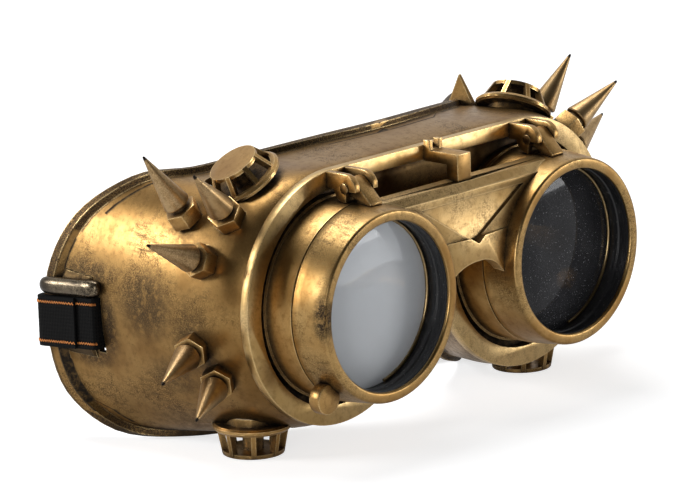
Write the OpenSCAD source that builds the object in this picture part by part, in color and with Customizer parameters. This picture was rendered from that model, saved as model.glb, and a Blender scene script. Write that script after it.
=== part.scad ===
// Spiked brass steampunk goggles with a flip-up double lens frame.
// X is the wearer's width, -Y is the front, Z is up, and the goggles stand on the plane Z = 0.

/* [Eye pieces] */
// Distance between the two lens centres
lens_spacing = 84.4; // [82:0.2:90]
// Radius of the clear opening in a barrel's front lip
opening_r = 25.6; // [25:0.1:26]
// How far the lip reaches over the lens
lip_over = 1.4; // [1:0.1:1.8]
// Wall of a barrel at its front edge
barrel_wall = 2; // [1.6:0.1:2.4]
// How much wider a barrel is at its back edge than at its front, in radius
barrel_flare = 1.2; // [0.8:0.1:1.4]
// Length of a flip-up barrel
barrel_len = 12; // [11:0.5:12.5]
// Thickness of the front lip
lip_t = 1.2; // [0.8:0.1:2]
// Thickness of a lens disc
lens_t = 2; // [1.5:0.1:3]
// Radius of the wire of the retaining ring
wire_r = 0.5; // [0.3:0.05:0.6]
// Wall of the fixed eye tube
tube_wall = 3.4; // [3:0.1:3.8]

/* [Front] */
// Width of the gap between an eye tube and the flat ring round it
recess_gap = 2.8; // [2.4:0.1:3.2]
// Width of the flat ring round each eye
ring_w = 6; // [5.4:0.2:6.6]
// Distance from the barrel's front to the face of the rings
face_y = 21.5; // [20.5:0.1:23]
// Thickness of the front bezel
bezel_t = 3; // [2:0.1:4]
// Depth of the recess below the ring faces
recess_depth = 3.6; // [3.1:0.1:5]
// Thickness of the plate at the bottom of the recess
plate_t = 1.6; // [1:0.1:3]
// Height of the band's lower edge above the top of the eye tubes
band_rise = 4.2; // [4:0.1:4.5]

/* [Shell] */
// Wall of the moulded shell
wall = 2.2; // [1.6:0.1:3]
// How far the ring edge stands out past the shell behind it
ring_step = 0.6; // [0.3:0.1:1.5]
// Height of the horn on the upper back edge
horn_h = 8; // [4:0.5:9]
// Height of the lens centres above the ground
centre_h = 46.8; // [46.8:0.1:52]

/* [Hinge] */
// Distance of the hinge axis behind the barrel fronts
pivot_y = 14.2; // [13.6:0.1:14.6]
// Height of the hinge axis above the top of the eye tubes
pivot_rise = 4.2; // [4:0.1:4.5]
// Radius of the hinge pin
pin_r = 1.6; // [1:0.1:2]
// Outer radius of an ear
ear_r = 4.4; // [3.8:0.1:4.5]
// Thickness of an ear
ear_t = 2; // [1.5:0.1:2.2]
// Distance of a hinge's middle from the centre plane
hinge_x = 41; // [40:0.2:43]
// Width of the knuckle between the ears
knuckle_w = 5.2; // [4:0.1:6]
// Outer radius of the knuckle
knuckle_r = 3; // [2.4:0.1:3.2]
// Running clearance of the pin in the knuckle
pin_gap = 0.05; // [0.02:0.01:0.1]

/* [Bridge and catch] */
// How far the bar's top back edge lies below the top of the eye tubes
bar_drop = 0.4; // [0.3:0.1:1]
// Distance of the bridge's front face behind the barrel fronts
bridge_y = 4.6; // [3:0.1:5.5]
// Thickness of the bridge plate
bridge_t = 3.4; // [2.5:0.1:4]
// Width of the catch hook
catch_w = 6; // [4:0.2:8]
// Distance of the hook's front behind the barrel fronts
catch_y = 7.9; // [7.4:0.1:8.6]
// Height of the hook's top above the band's lower edge
catch_rise = 3.1; // [2.6:0.1:3.6]
// Radius of a finger tab
tab_r = 4.6; // [3.5:0.1:6]
// Thickness of a finger tab
tab_t = 4; // [2:0.1:5]

/* [Vents] */
// Radius of a vent's base ring
vent_r = 12; // [10:0.1:13]
// Radius of a vent's flat end
vent_top_r = 7.8; // [5:0.1:9]
// Height of an upper vent's cage above its base ring
vent_h = 5.4; // [4:0.1:8]
// Height of a lower vent's cage above its base ring
low_vent_h = 7.4; // [5:0.1:9]
// Radius of a lower vent's flat end
low_vent_top_r = 9.3; // [8:0.1:9.6]
// Number of ribs round a vent
vent_ribs = 8; // [6:1:12]
// Width of a rib
rib_w = 1.5; // [1:0.1:2.5]

/* [Spikes] */
// Length of a spike's cone
spike_len = 18.5; // [12:0.5:22]
// Radius of a spike's cone at its base
spike_r = 4.2; // [3:0.1:5]
// Radius over the corners of a spike's hexagon
nut_r = 5.3; // [4.4:0.1:6]
// Height of a spike's hexagon
nut_h = 5; // [4:0.1:7]
// Radius of the screw that holds a spike
screw_r = 1.4; // [1:0.1:1.8]

/* [Strap] */
// Width of the elastic strap
strap_w = 15.8; // [14:0.2:18]
// Thickness of the elastic strap
strap_t = 1.3; // [1:0.1:1.6]

/* [Hidden] */

fine = 96;
gold = [0.72, 0.55, 0.30];
dark_gold = [0.45, 0.33, 0.16];
black = [0.05, 0.05, 0.055];
eps = 0.01;

eye_x = lens_spacing / 2;
bore_r = opening_r + lip_over;
barrel_r = bore_r + barrel_wall;
tube_r = barrel_r + barrel_flare;
eye_r = tube_r - tube_wall;
recess_r = tube_r + recess_gap;
ring_r = recess_r + ring_w;
band_low = tube_r + band_rise;
pivot_z = tube_r + pivot_rise;
bar_top = tube_r - bar_drop;
catch_top = band_low + catch_rise;
tube_gap = 0.3;
tube_front = barrel_len + tube_gap;
bezel_back = face_y + bezel_t;
floor_y = face_y + recess_depth;
plate_back = floor_y + plate_t;
skirt_t = 2;
lens_front = barrel_len - lens_t - 0.3;
ring_top = ring_r;
nose_top = -6.5;
nose_r = 3.4;

// The lens frame has its origin midway between the lens centres, level with the barrel fronts.
// Everything is drawn there and then moved so that the goggles stand over the part's origin.
back_y = 106.6;
mid_y = back_y / 2;
module seat() translate([0, -mid_y, centre_h]) children();
// side is -1 for the wearer's right eye, seen on the left, and 1 for the other
module along_y(y0, y1) translate([0, y1, 0]) rotate([90, 0, 0]) linear_extrude(y1 - y0) children();
module at_eye(side) translate([side * eye_x, 0, 0]) children();

function unit(a) = a / norm(a);
function mix(a, b, t) = a + (b - a) * t;
function spline(a, b, c, d, t) =
    0.5 * (2 * b + (c - a) * t + (2 * a - 5 * b + 4 * c - d) * t * t + (3 * b - a - 3 * c + d) * t * t * t);

// Stations round the shell, from the top centre over the temple and under the cheek to the nose.
// Each holds the front edge's x and z, the back edge's x, y and z, the bulge between them,
// the height and the width of the rolled lip, and the x and z of the outward direction.
shell_r = ring_r - ring_step;
function ring_station(a, back, bulge, lip, band) = [
    eye_x + shell_r * cos(a), shell_r * sin(a), back[0], back[1], back[2], bulge, lip, band, cos(a), sin(a)
];
half_stations = [
    [0, shell_r, 0, 42, 41.2, 0.6, 1.6, 2.8, 0, 1],
    [eye_x / 2, shell_r, 24, 45, 40.6, 0.8, 1.6, 2.8, 0, 1],
    ring_station(90, [45, 52.5, 38.4], 1.0, 1.7, 2.8),
    ring_station(67.5, [59, 61.5, 35.6], 2.2, 1.8, 2.8),
    ring_station(45, [70.6, 74.6, 33.2], 3.2, 1.8, 3.2),
    ring_station(22.5, [78.6, 90.4, 21.6], 3.2, 1.9, 3.5),
    ring_station(0, [82, 99.6, 4], 3, 2, 3.6),
    ring_station(-22.5, [81.5, 100.6, -15.5], 3, 2, 4.2),
    ring_station(-45, [79, 95, -32.8], 3.2, 2, 5),
    ring_station(-67.5, [72.5, 81, -42.9], 2.2, 2, 5.2),
    ring_station(-90, [59, 64, -44.2], 1.2, 2, 4.6),
    ring_station(-112.5, [43, 52, -41.5], 0.8, 1.8, 3.6),
    ring_station(-135, [29.5, 46.5, -35.5], 0.4, 1.7, 3),
    ring_station(-157.5, [20, 43, -23.5], 0, 1.6, 2.6),
    [nose_r + 0.5, nose_top - nose_r, 11, 41.5, -11.5, 0, 1.5, 2.4, -0.7, -0.7],
    [0, nose_top - 0.4, 0, 41, -5.5, 0, 1.5, 2.4, 0, -1]
];
function flip_station(s) = [-s[0], s[1], -s[2], s[3], s[4], s[5], s[6], s[7], -s[8], s[9]];
half_n = len(half_stations) - 1;
stations = concat(half_stations, [for (i = [half_n - 1:-1:1]) flip_station(half_stations[i])]);
loop_n = len(stations);
function station(k) = stations[(k + loop_n) % loop_n];
// s counts stations from the top centre; whole numbers are the rows above
function row_at(s) = let(k = floor(s), t = s - k)
    spline(station(k - 1), station(k), station(k + 1), station(k + 2), t);
function bulge_at(v) = sin(180 * pow(max(v, 0), 0.62));
function outer_at(s, v) = let(r = row_at(s), d = unit([r[8], r[9]]), b = r[5] * bulge_at(v)) [
    mix(r[0], r[2], v) + b * d[0],
    mix(bezel_back, r[3], v),
    mix(r[1], r[4], v) + b * d[1]
];
d_s = 0.02;
d_v = 0.02;
function back_run(s, v) = unit(outer_at(s, min(v + d_v, 1)) - outer_at(s, max(v - d_v, 0)));
function out_at(s, v) = unit(cross(outer_at(s + d_s, v) - outer_at(s - d_s, v), back_run(s, v)));
function inner_at(s, v) = outer_at(s, v) - wall * out_at(s, v);
function lip_at(s) = row_at(s)[6];
function band_at(s) = row_at(s)[7];

shell_v = [0, 0.04, 0.1, 0.2, 0.35, 0.5, 0.65, 0.8, 0.92, 0.975];
inner_v = [1, 0.85, 0.6, 0.35, 0.15, 0.04, 0];
function shell_profile(s) =
    let(run = back_run(s, 1), out = out_at(s, 1), edge = outer_at(s, 1), lip = lip_at(s), band = band_at(s))
    concat(
        [for (v = shell_v) outer_at(s, v)],
        [
            edge + out * lip,
            edge + out * (lip + 0.1) + run * (band - 0.5),
            edge + out * (lip - 0.4) + run * band,
            edge - out * wall + run * band
        ],
        [for (v = inner_v) flat_front(inner_at(s, v), v)]
    );
function flat_front(p, v) = v == 0 ? [p[0], bezel_back, p[2]] : p;

// A closed tube of profiles, one ring of points for each profile, joined round the loop
module closed_sweep(profiles) {
    n = len(profiles);
    m = len(profiles[0]);
    points = [for (p = profiles) each p];
    faces = [
        for (i = [0:n - 1]) for (j = [0:m - 1])
            let(a = i * m + j, b = i * m + (j + 1) % m, c = ((i + 1) % n) * m + (j + 1) % m, d = ((i + 1) % n) * m + j)
            each [[a, b, c], [a, c, d]]
    ];
    polyhedron(points, faces, convexity = 8);
}
// An open tube of profiles with a cap at each end
module open_sweep(profiles) {
    n = len(profiles);
    m = len(profiles[0]);
    points = [for (p = profiles) each p];
    sides = [
        for (i = [0:n - 2]) for (j = [0:m - 1])
            let(a = i * m + j, b = i * m + (j + 1) % m, c = (i + 1) * m + (j + 1) % m, d = (i + 1) * m + j)
            each [[a, b, c], [a, c, d]]
    ];
    first = [[for (j = [m - 1:-1:0]) j]];
    last = [[for (j = [0:m - 1]) (n - 1) * m + j]];
    polyhedron(points, concat(sides, first, last), convexity = 8);
}

// The slot in each temple that the strap passes through
slot_y0 = 81;
slot_w = 3;
strap_z = -9.6;
slot_h = strap_w + 1.6;
temple_x = 84;
module strap_slot(side)
    translate([side * temple_x - 8, slot_y0, strap_z - slot_h / 2]) cube([16, slot_w, slot_h]);

// A horn stands on the lip, on one side only
horn_s = 2.7;
horn_half = 3.6;
horn_run = 7;
horn_drop = 4;
horn_lean = 1.5;
module horn() {
    run = back_run(horn_s, 1);
    out = out_at(horn_s, 1);
    w = unit(cross(run, out));
    base = outer_at(horn_s, 1) - out - run * horn_run;
    deep = band_at(horn_s) + horn_run - 0.2;
    tip = base + out * (horn_h + 1 + lip_at(horn_s)) + run * (deep - horn_drop) - w * horn_lean;
    polyhedron(
        [base - w, base + w, base + w * horn_half + run * deep, base - w * horn_half + run * deep, tip - w * 0.5, tip + w * 0.5],
        [[0, 1, 2, 3], [0, 4, 5, 1], [1, 5, 2], [2, 5, 4, 3], [3, 4, 0]]
    );
}
shell_steps = 5;
module mask_shell() {
    color(gold) seat() difference() {
        union() {
            closed_sweep([for (i = [0:loop_n * shell_steps - 1]) shell_profile(i / shell_steps)]);
            horn();
        }
        for (side = [-1, 1]) {
            strap_slot(side);
            lug_body(side);
            at_top_vent(side) vent_seat();
            at_bottom_vent(side) vent_seat();
            at_spikes(side) spike_seat();
        }
    }
}

// Front bezel: a flat ring round each eye, joined by a band over the top and a web at the nose
web_half = 8;
module bezel_outline() {
    difference() {
        union() {
            for (side = [-1, 1]) translate([side * eye_x, 0]) circle(ring_r, $fn = fine);
            translate([-eye_x, band_low]) square([lens_spacing, ring_top - band_low]);
            translate([-web_half, nose_top - nose_r]) square([2 * web_half, band_low - nose_top + nose_r + eps]);
        }
        translate([0, nose_top - nose_r]) circle(nose_r, $fn = fine);
    }
}
recess_low = 4;
module recess_outline(r, top) {
    for (side = [-1, 1]) translate([side * eye_x, 0]) circle(r, $fn = fine);
    translate([-eye_x, recess_low + recess_r - r]) square([lens_spacing, top - recess_low + r - recess_r]);
}
module front_bezel() {
    color(gold) seat() {
        difference() {
            union() {
                along_y(face_y, bezel_back) bezel_outline();
                along_y(bezel_back - eps, floor_y)
                    recess_outline(recess_r + skirt_t, band_low + skirt_t);
            }
            along_y(face_y - 1, floor_y + 1) recess_outline(recess_r, band_low);
        }
    }
}

// Plate at the bottom of the recess, with a hole behind each eye tube
module socket_plate() {
    color(dark_gold) seat() difference() {
        along_y(floor_y, plate_back) recess_outline(recess_r + skirt_t, band_low + skirt_t);
        for (side = [-1, 1]) at_eye(side)
            translate([0, floor_y - eps, 0]) rotate([-90, 0, 0])
            cylinder(h = plate_t + 2 * eps, r1 = eye_r + flare, r2 = eye_r + flare + plate_t * 1.4, $fn = fine);
    }
}

// Fixed eye tube, with a stepped foot and a mouth that flares towards the wearer
flare = 2.4;
flare_len = 3;
foot_len = 2.6;
foot_step = 0.9;
module eye_tube(side) {
    color(gold) seat() at_eye(side) rotate([-90, 0, 0]) rotate_extrude($fn = fine) polygon([
        [eye_r, tube_front], [tube_r, tube_front], [tube_r, floor_y - foot_len],
        [tube_r + foot_step, floor_y - foot_len], [tube_r + foot_step, floor_y],
        [eye_r + flare, floor_y], [eye_r, floor_y - flare_len]
    ]);
}

// Hinge ears: two open hooks that hold the pin, standing on the top of the ring
ear_in = knuckle_w / 2 + 0.3;
ear_gap = 0.15;
module hinge_ears(side) {
    color(gold) seat() for (x = [-1, 1])
        translate([side * hinge_x + x * (ear_in + ear_t / 2), 0, 0]) difference() {
            union() {
                translate([-ear_t / 2, pivot_y, pivot_z]) rotate([0, 90, 0]) cylinder(h = ear_t, r = ear_r, $fn = fine);
                translate([-ear_t / 2, pivot_y, pivot_z - 0.6]) cube([ear_t, face_y - pivot_y, ear_r + 0.6]);
            }
            translate([-ear_t, pivot_y, pivot_z]) rotate([0, 90, 0]) cylinder(h = 2 * ear_t, r = pin_r, $fn = fine);
            translate([-ear_t, pivot_y - 2 * ear_r, pivot_z - 2 * ear_r - 0.7]) cube([2 * ear_t, 2 * ear_r - 0.4, 2 * ear_r]);
            translate([side * eye_x - side * hinge_x - x * (ear_in + ear_t / 2), 0, 0]) rotate([-90, 0, 0])
                cylinder(h = face_y, r = tube_r + ear_gap, $fn = fine);
        }
}
pin_over = 0.4;
module hinge_pin(side) {
    half = ear_in + ear_t + pin_over;
    color(dark_gold) seat() translate([side * hinge_x - half, pivot_y, pivot_z]) rotate([0, 90, 0])
        cylinder(h = 2 * half, r = pin_r, $fn = fine);
}

// Catch: an arm from the band with a tooth that stands in a notch of the flip bar
tooth_t = 4.4;
tooth_low = bar_top - 0.9;
prong_t = 1.6;
prong_h = 3;
module catch_bracket() {
    color(gold) seat() {
        translate([-catch_w / 2, catch_y, catch_top - 3.4]) cube([catch_w, face_y - catch_y, 3.4]);
        translate([-catch_w / 2, catch_y, tooth_low]) cube([catch_w, tooth_t, catch_top - tooth_low]);
        translate([-catch_w / 2, face_y - 2, band_low + 0.2]) cube([catch_w, 2, catch_top - band_low]);
        for (x = [-catch_w / 2, catch_w / 2 - prong_t])
            translate([x, face_y - 2.4, catch_top - eps]) cube([prong_t, 2.4, prong_h]);
    }
}

// Flip frame: the bar and the beaked bridge between the two barrels
tooth_reach = norm([pivot_y - catch_y, pivot_z - tooth_low]);
ridge_y = 2.4;
bar_end = hinge_x - 4;
tri_x = 23.2;
tri_top = bar_top - 5.2;
tri_low = 10.4;
tri_deep = 1;
wing_x = 12.6;
wing_z = -0.7;
arch_z = 5.2;
arch_r = (wing_x * wing_x + pow(arch_z - wing_z, 2)) / (2 * (arch_z - wing_z));
module barrel_body(grow) rotate([-90, 0, 0])
    cylinder(h = barrel_len, r1 = barrel_r + grow, r2 = tube_r + grow, $fn = fine);
module bridge_outline() {
    difference() {
        polygon([[-bar_end, bar_top - 3], [bar_end, bar_top - 3], [bar_end, bar_top - 9.8], [wing_x + 3, wing_z], [wing_x, wing_z - 0.4],
            [-wing_x, wing_z - 0.4], [-wing_x - 3, wing_z], [-bar_end, bar_top - 9.8]]);
        translate([0, arch_z - arch_r]) circle(arch_r, $fn = fine);
    }
}
module flip_bridge() {
    color(gold) seat() difference() {
        union() {
            // bar with a sloping front
            translate([-bar_end, 0, 0]) rotate([90, 0, 90]) linear_extrude(2 * bar_end) polygon([
                [bridge_y, bar_top - 6], [barrel_len - 0.2, bar_top - 6], [barrel_len - 0.2, bar_top],
                [bridge_y + 2.6, bar_top - 0.6], [bridge_y, bar_top - 3.6]
            ]);
            along_y(bridge_y, bridge_y + bridge_t) bridge_outline();
            // beak: two facets that meet in an upright ridge below the panel
            intersection() {
                along_y(0, barrel_len) bridge_outline();
                translate([0, 0, wing_z - 1]) linear_extrude(tri_low + 3 - wing_z) polygon([
                    [-wing_x - 4, bridge_y + 1], [-wing_x - 4, bridge_y], [0, ridge_y], [wing_x + 4, bridge_y], [wing_x + 4, bridge_y + 1]
                ]);
            }
        }
        for (side = [-1, 1]) at_eye(side) barrel_body(0);
        // sunk triangular panel
        along_y(0, bridge_y + tri_deep) polygon([[-tri_x, tri_top], [tri_x, tri_top], [0, tri_low]]);
        // notch that clears the catch tooth through the whole turn
        translate([-catch_w / 2 - 0.5, pivot_y, pivot_z]) rotate([0, 90, 0])
            cylinder(h = catch_w + 1, r = tooth_reach + 0.35, $fn = fine);
    }
}

// Barrel: an open tube with a lip in front and a bore for the lens behind it
module barrel(side) {
    color(gold) seat() at_eye(side) rotate([-90, 0, 0]) rotate_extrude($fn = fine) polygon([
        [opening_r, 0.5], [opening_r + 0.5, 0], [barrel_r - 0.5, 0], [barrel_r, 0.5],
        [tube_r, barrel_len], [bore_r, barrel_len], [bore_r, lip_t], [opening_r, lip_t]
    ]);
}
// Black sleeve between the lip and the lens, with shallow steps
module lens_sleeve(side) {
    color(black) seat() at_eye(side) rotate([-90, 0, 0]) rotate_extrude($fn = fine) polygon([
        [opening_r, lip_t], [bore_r, lip_t], [bore_r, lens_front], [opening_r + 0.5, lens_front],
        [opening_r + 0.5, lens_front * 0.72], [opening_r, lens_front * 0.72], [opening_r, lens_front * 0.55],
        [opening_r + 0.4, lens_front * 0.52], [opening_r + 0.4, lip_t + 1.8], [opening_r, lip_t + 1.5]
    ]);
}
module lens(side) {
    color([0.6, 0.62, 0.64, 0.35]) seat() at_eye(side) translate([0, lens_front, 0]) rotate([-90, 0, 0])
        cylinder(h = lens_t, r = bore_r, $fn = fine);
}
// Split wire ring that lies against the lens
wire_gap = 24;
module retaining_ring(side) {
    ring_mid = opening_r + 0.5 - wire_r;
    color(gold) seat() at_eye(side) translate([0, lens_front - wire_r, 0]) rotate([-90, 0, 0])
        rotate([0, 0, 90 + wire_gap / 2]) rotate_extrude(angle = 360 - wire_gap, $fn = fine)
        translate([ring_mid, 0]) circle(wire_r, $fn = 24);
}
// Hinge arm: from the knuckle on the pin down to the top of the barrel
arm_foot_y = 6;
module hinge_arm(side) {
    lean = knuckle_r * sin(45);
    foot_z = barrel_r - 1;
    color(gold) seat() translate([side * hinge_x - knuckle_w / 2, 0, 0]) difference() {
        union() {
            translate([0, pivot_y, pivot_z]) rotate([0, 90, 0]) cylinder(h = knuckle_w, r = knuckle_r, $fn = fine);
            rotate([90, 0, 90]) linear_extrude(knuckle_w) polygon([
                [pivot_y - lean, pivot_z + lean], [arm_foot_y, pivot_z + lean - (pivot_y - lean - arm_foot_y)],
                [arm_foot_y, foot_z], [barrel_len - 0.6, foot_z], [barrel_len - 0.6, tube_r + 0.5], [pivot_y, pivot_z - knuckle_r + 0.4]
            ]);
        }
        translate([-1, pivot_y, pivot_z]) rotate([0, 90, 0]) cylinder(h = knuckle_w + 2, r = pin_r + pin_gap, $fn = fine);
        translate([eye_x - hinge_x + knuckle_w / 2 - (side < 0 ? 2 * (eye_x - hinge_x) : 0), 0, 0]) barrel_body(0);
    }
}
// Finger tab: a coin-shaped grip on the barrel's lower outer side
tab_y = 5.2;
tab_angle = 227;
module finger_tab() {
    tab_out = tube_r + tab_r * 0.62;
    color(gold) seat() at_eye(-1) difference() {
        translate([tab_out * cos(tab_angle), tab_y, tab_out * sin(tab_angle)]) rotate([-90, 0, 0])
            cylinder(h = tab_t, r = tab_r, $fn = fine);
        barrel_body(0);
    }
}

// Vent: a round base, slanting ribs and a flat end, with a post in the middle
vent_base_h = 2.2;
vent_sink = 2.4;
end_t = 1.2;
post_r = 3.2;
hole_r = vent_r - 4;
hole_gap = 0.15;
seat_h = 12;
// what a vent cuts out of the shell: its seat and the hole for its spigot
module vent_seat() {
    cylinder(h = seat_h, r = vent_r + 0.05, $fn = fine);
    translate([0, 0, -seat_h]) cylinder(h = seat_h + eps, r = hole_r + hole_gap, $fn = fine);
}
module vent_cage(h, top_r) {
    translate([0, 0, -vent_sink]) difference() {
        cylinder(h = vent_sink + eps, r = hole_r, $fn = fine);
        translate([0, 0, -1]) cylinder(h = vent_sink + 1, r = hole_r - 1.2, $fn = fine);
    }
    rotate_extrude($fn = fine) polygon([
        [0, 0], [vent_r - 0.6, 0], [vent_r, 0.6], [vent_r, vent_base_h - 0.8], [vent_r - 0.8, vent_base_h],
        [vent_r - 2.2, vent_base_h], [vent_r - 2.6, vent_base_h - 1.2], [0, vent_base_h - 1.2]
    ]);
    cylinder(h = vent_base_h + h, r = post_r, $fn = fine);
    translate([0, 0, vent_base_h + h - end_t]) cylinder(h = end_t, r = top_r, $fn = fine);
    slope_r = vent_r - 1.2 - top_r;
    for (i = [0:vent_ribs - 1]) rotate([0, 0, i * 360 / vent_ribs])
        rotate([90, 0, 0]) translate([0, 0, -rib_w / 2]) linear_extrude(rib_w) polygon([
            [top_r + slope_r, vent_base_h - 0.4], [top_r + slope_r - 2, vent_base_h - 0.4],
            [top_r - 2, vent_base_h + h - end_t / 2], [top_r, vent_base_h + h]
        ]);
}
// turns +Z to the direction d
module aim(d) {
    u = unit(d);
    rotate([0, acos(u[2]), atan2(u[1], u[0])]) children();
}
function flip_x(p, side) = [side * p[0], p[1], p[2]];
top_vent_s = 3.15;
top_vent_v = 0.43;
top_vent_set = 1.4;
top_vent_lean = [0.51, 0.18, 0.84];
module at_top_vent(side) {
    base = outer_at(top_vent_s, top_vent_v) - top_vent_set * unit(top_vent_lean);
    translate(flip_x(base, side)) aim(flip_x(top_vent_lean, side)) children();
}
module vent_top(side) color(gold) seat() at_top_vent(side) vent_cage(vent_h, vent_top_r);
bottom_vent_x = 61.2;
bottom_vent_y = 40.6;
module at_bottom_vent(side)
    translate([side * bottom_vent_x, bottom_vent_y, -centre_h + vent_base_h + low_vent_h]) rotate([180, 0, 0]) children();
module vent_bottom(side) color(gold) seat() at_bottom_vent(side) vent_cage(low_vent_h, low_vent_top_r);

// Spikes: for each one, its place round the shell and along it, and the lean added to the shell's normal
spike_rows_left = [
    [4.45, 0.43, [-0.29, 0.19, 0.27]],
    [4.2, 0.19, [-0.03, 0.03, 0.05]],
    [5.1, 0.21, [-0.02, 0.11, 0.08]],
    [6.67, 0.23, [0, -0.3, 0]],
    [7.25, 0.15, [0, -0.3, 0.12]]
];
spike_rows_right = [
    [4.26, 0.38, [-0.21, -0.08, 0.18]],
    [4.06, 0.11, [0.14, 0.1, -0.14]],
    [4.87, 0.18, [-0.12, 0.28, -0.1]],
    [6.67, 0.23, [0, 0.3, 0]],
    [7.25, 0.15, [0, 0.25, 0.1]]
];
nut_sink = 0.7;
neck_h = 1.5;
neck_r = 2.7;
module at_spikes(side) for (row = side < 0 ? spike_rows_left : spike_rows_right) {
    base = outer_at(row[0], row[1]);
    lean = out_at(row[0], row[1]) + row[2];
    translate(flip_x(base, side)) aim(flip_x(lean, side)) children();
}
module on_spikes(side) seat() at_spikes(side) children();
// what a spike cuts out of the shell: a pocket for its hexagon and a hole for its screw
module spike_seat() {
    translate([0, 0, -nut_sink]) cylinder(h = nut_h, r = nut_r, $fn = 6);
    translate([0, 0, -8]) cylinder(h = 8, r = screw_r + hole_gap, $fn = 48);
}
screw_deep = nut_h + 3;
module spikes(side) color(gold) on_spikes(side) rotate_extrude($fn = 48) polygon([
    [0, screw_deep], [screw_r, screw_deep], [screw_r, nut_h - nut_sink], [neck_r, nut_h - nut_sink],
    [neck_r, nut_h - nut_sink + neck_h], [spike_r - 0.3, nut_h - nut_sink + neck_h],
    [spike_r, nut_h - nut_sink + neck_h + 0.5], [0.35, nut_h + neck_h + spike_len - 0.3], [0, nut_h + neck_h + spike_len]
]);
module spike_nuts(side) color(gold) on_spikes(side) translate([0, 0, -nut_sink]) difference() {
    cylinder(h = nut_h, r = nut_r, $fn = 6);
    translate([0, 0, -1]) cylinder(h = nut_h + 2, r = screw_r, $fn = 48);
}
head_r = 3;
head_h = 1.6;
module spike_screws(side) color(dark_gold) on_spikes(side) {
    translate([0, 0, -wall - 1.5 - eps]) cylinder(h = wall + 1.5 + eps + screw_deep, r = screw_r, $fn = 48);
    translate([0, 0, -wall - 1.5 - head_h]) cylinder(h = head_h, r = head_r, $fn = 48);
}

// Strap lug: a smooth raised pad on the temple, under the strap
lug_s0 = 5.9;
lug_s1 = 7.25;
lug_v0 = 0.8;
lug_v1 = 0.97;
lug_h = 1.5;
lug_n = 8;
lug_set = 0.3;
module lug_body(side) {
    rows = [for (i = [0:lug_n]) let(s = mix(lug_s0, lug_s1, i / lug_n), edge = (i == 0 || i == lug_n) ? 0.35 : 1) [
        for (v = [lug_v0, mix(lug_v0, lug_v1, 0.08), mix(lug_v0, lug_v1, 0.5), mix(lug_v0, lug_v1, 0.92), lug_v1])
            outer_at(s, v) + out_at(s, v) * lug_h * edge * ((v == lug_v0 || v == lug_v1) ? 0.4 : 1),
        for (v = [lug_v1, mix(lug_v0, lug_v1, 0.5), lug_v0]) outer_at(s, v) - out_at(s, v) * lug_set
    ]];
    mirror([side < 0 ? 1 : 0, 0, 0]) open_sweep(rows);
}
module strap_lug(side) color(dark_gold) seat() lug_body(side);

// Strap loop: sewn round the back of the temple, out through the slot and over the lug
module ribbon(path, t) {
    n = len(path);
    function along(i) = unit(path[min(i + 1, n - 1)] - path[max(i - 1, 0)]);
    function side_of(i) = let(d = along(i)) [-d[1], d[0]];
    polygon(concat([for (i = [0:n - 1]) path[i] + side_of(i) * t / 2], [for (i = [n - 1:-1:0]) path[i] - side_of(i) * t / 2]));
}
function temple_at(y) = let(v = (y - bezel_back) / (row_at(6.65)[3] - bezel_back)) outer_at(6.65, v)[0];
strap_gap = 0.35;
over = lug_h + strap_t / 2 + strap_gap;
slope_gap = 1;
under = wall + strap_t / 2 + strap_gap + slope_gap;
loop_row = row_at(6.65);
lip_x = loop_row[2] + loop_row[6] + strap_t / 2 + strap_gap + 0.2;
rear_y = loop_row[3] + loop_row[7] + strap_t / 2 + strap_gap;
slot_mid = slot_y0 + slot_w / 2;
loop_end = 95;
module strap_loop(side) {
    t = temple_at(slot_mid);
    path = [
        [temple_at(90) - under, 90], [temple_at(87) - under, 87], [t - under + 0.1, slot_mid + 1.5],
        [t - under + 0.9, slot_mid + 0.3], [t - under + 2, slot_mid], [t + over - 1.6, slot_mid], [t + over - 0.4, slot_mid + 0.4],
        [t + over, slot_mid + 1.6], [temple_at(89) + over, 89], [temple_at(93) + over, 93], [mix(temple_at(97) + over, lip_x, 0.7), 97],
        [lip_x, 100], [lip_x, rear_y - 1.4], [lip_x - 0.5, rear_y - 0.5], [lip_x - 1.4, rear_y], [lip_x - 4, rear_y],
        [loop_row[2] - under, rear_y - 0.5], [loop_row[2] - under - 0.5, rear_y - 1.6], [temple_at(99) - under - 0.1, 99],
        [temple_at(loop_end) - under, loop_end]
    ];
    color(black) seat() mirror([side < 0 ? 1 : 0, 0, 0]) translate([0, 0, strap_z - strap_w / 2])
        linear_extrude(strap_w) ribbon(path, strap_t);
}

// Head strap: from inside one temple down to the ground behind the cheek and across to the other
// Each row holds a point and how far the strap has turned from standing to lying flat.
strap_low = -centre_h + strap_t / 2 + 0.15;
half_strap = [
    [temple_at(loop_end) - under - 0.1, loop_end - 0.4, strap_z, 0],
    [temple_at(89) - under - 3, 89, strap_z - 0.3, 0],
    [75, 82, -11.5, 0.05],
    [72.4, 75, -17, 0.2],
    [68.6, 72, -25, 0.45],
    [62.6, 71.5, -33.5, 0.7],
    [54.6, 72, -40.3, 0.9],
    [45, 73, strap_low + 1.7, 1],
    [32, 72, strap_low + 0.2, 1],
    [16, 71, strap_low, 1],
    [0, 70.6, strap_low, 1]
];
strap_rows = concat(
    [for (r = half_strap) [-r[0], r[1], r[2], r[3]]],
    [for (i = [len(half_strap) - 2:-1:0]) half_strap[i]]
);
strap_n = len(strap_rows);
strap_steps = 3;
function strap_row(k) = strap_rows[max(0, min(strap_n - 1, k))];
function strap_at(s) = let(k = min(floor(s), strap_n - 2), t = s - k)
    spline(strap_row(k - 1), strap_row(k), strap_row(k + 1), strap_row(k + 2), t);
function place(r) = [r[0], r[1], r[2]];
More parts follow.
